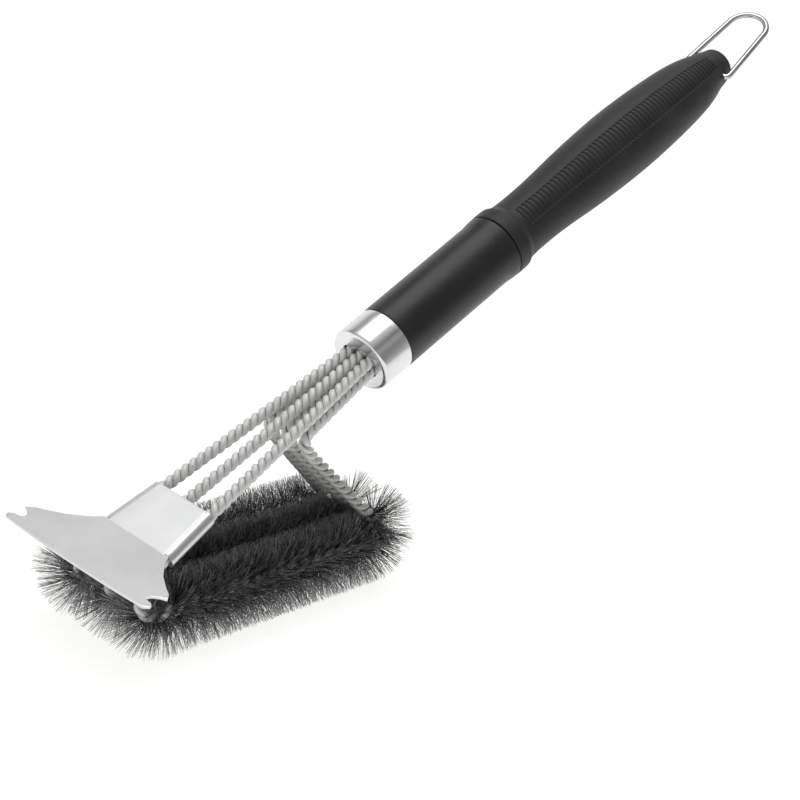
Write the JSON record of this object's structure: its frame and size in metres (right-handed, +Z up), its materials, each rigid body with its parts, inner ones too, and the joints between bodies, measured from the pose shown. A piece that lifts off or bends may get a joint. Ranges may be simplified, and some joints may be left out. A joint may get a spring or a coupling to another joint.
{
  "type": "grill cleaning brush",
  "caption": "Long-handled grill brush: side-by-side wire bristle rows on bent twisted wires, a flared bent scraper over the front, ribbed tapered grip and swinging hanging loop.",
  "frame": {"origin": "the middle of the flat underside of the middle bristle row, on the surface the brush stands on", "axes": "+Z up; X runs along the bristle rows, scraper towards -X and handle rising towards +X; Y across the rows"},
  "size_m": [0.4424, 0.0872, 0.2616],
  "materials": {
    "bright_steel": "polished",
    "sleeve_plastic": "satin",
    "grip_plastic": "matte",
    "tube_aluminium": "satin",
    "plug_plastic": "matte",
    "loop_steel": "polished",
    "wire_steel": "satin",
    "bristle": "satin",
    "sheet_steel": "satin"
  },
  "bodies": {
    "brush": {"grip": "grip_plastic", "ferrule": "bright_steel", "front_sleeve": "sleeve_plastic", "core_tube": "tube_aluminium", "wire_anchor": "plug_plastic", "wire_left": "wire_steel", "wire_middle": "wire_steel", "wire_right": "wire_steel", "bristles_left": "bristle", "bristles_middle": "bristle", "bristles_right": "bristle", "scraper": "sheet_steel"},
    "loop": {"hanging_loop": "loop_steel"}
  },
  "joints": [
    {"name": "loop_pivot", "type": "hinge", "parent": "brush", "child": "loop", "pos_m": [0.29452, 0, 0.23357], "axis": [0, 1, 0], "range_deg": [-86, 110]}
  ]
}
